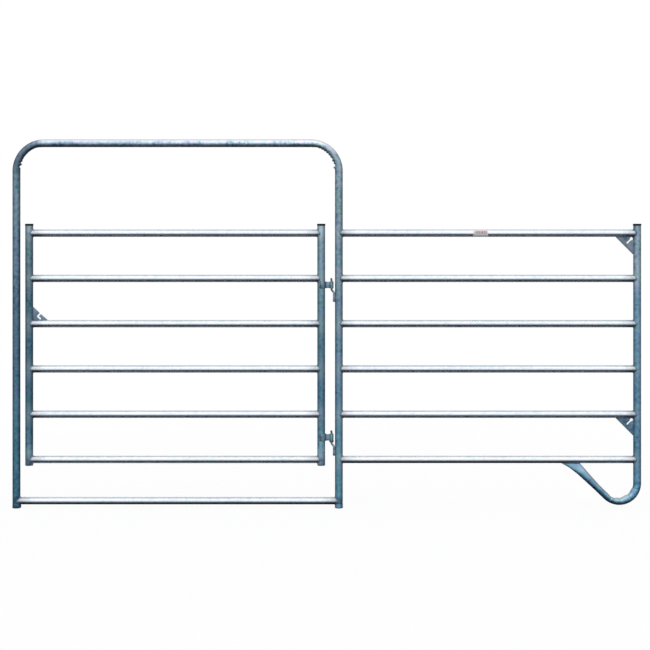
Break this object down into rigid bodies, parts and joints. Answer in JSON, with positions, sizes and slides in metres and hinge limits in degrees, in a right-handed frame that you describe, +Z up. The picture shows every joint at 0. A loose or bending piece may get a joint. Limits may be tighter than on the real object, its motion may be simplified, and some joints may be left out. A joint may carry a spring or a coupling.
{
  "type": "livestock panel gate",
  "caption": "Galvanised tube livestock panel: a tall bow doorway with a railed gate hung inside it on lift-off pins, and a railed fixed panel ending in a skid foot.",
  "frame": {"origin": "on the ground, half way along the panel and in its middle plane", "axes": "+X along the panel from the latch post to the end stile, +Y to the back, +Z up"},
  "size_m": [3.6, 0.055, 2.11],
  "materials": {
    "galvanised_post": "hot-dip galvanised, blue-grey, slightly mottled",
    "galvanised_rail": "hot-dip galvanised, bright and streaky along the tube",
    "galvanised_plate": "hot-dip galvanised plate, dull grey",
    "hinge_steel": "galvanised bar and band, dull, rubbed at the eyes",
    "plug_plastic": "moulded black polyethylene",
    "label_film": "white printed film with a plain coloured band and no lettering"
  },
  "bodies": {
    "panel": {"frame_bow": "galvanised_post", "frame_base_rail": "galvanised_rail", "post_foot_left": "galvanised_post", "post_foot_right": "galvanised_post", "hinge_pin_upper": "hinge_steel", "hinge_pin_lower": "hinge_steel", "hinge_collar": "hinge_steel", "panel_rail_1": "galvanised_rail", "panel_rail_2": "galvanised_rail", "panel_rail_3": "galvanised_rail", "panel_rail_4": "galvanised_rail", "panel_rail_5": "galvanised_rail", "panel_rail_6": "galvanised_rail", "panel_end_stile": "galvanised_post", "skid_foot_bend": "galvanised_post", "skid_foot_leg": "galvanised_post", "end_stile_plug": "plug_plastic", "corner_gusset_upper": "galvanised_plate", "corner_gusset_lower": "galvanised_plate", "rail_label": "label_film"},
    "washer": {"hinge_washer": "hinge_steel"},
    "gate": {"gate_rail_1": "galvanised_rail", "gate_rail_2": "galvanised_rail", "gate_rail_3": "galvanised_rail", "gate_rail_4": "galvanised_rail", "gate_rail_5": "galvanised_rail", "gate_rail_6": "galvanised_rail", "gate_latch_stile": "galvanised_post", "gate_hinge_stile": "galvanised_post", "latch_stile_plug": "plug_plastic", "hinge_stile_plug": "plug_plastic", "gate_chain_gusset": "galvanised_plate", "hinge_strap_upper": "hinge_steel", "hinge_strap_lower": "hinge_steel"}
  },
  "joints": [
    {"name": "gate_swing", "type": "hinge", "parent": "panel", "child": "washer", "pos_m": [0.027, 0, 0.385], "axis": [0, 0, 1], "range_deg": [-120, 120]},
    {"name": "gate_lift", "type": "slide", "parent": "washer", "child": "gate", "axis": [0, 0, 1], "range_m": [0, 0.06]}
  ]
}
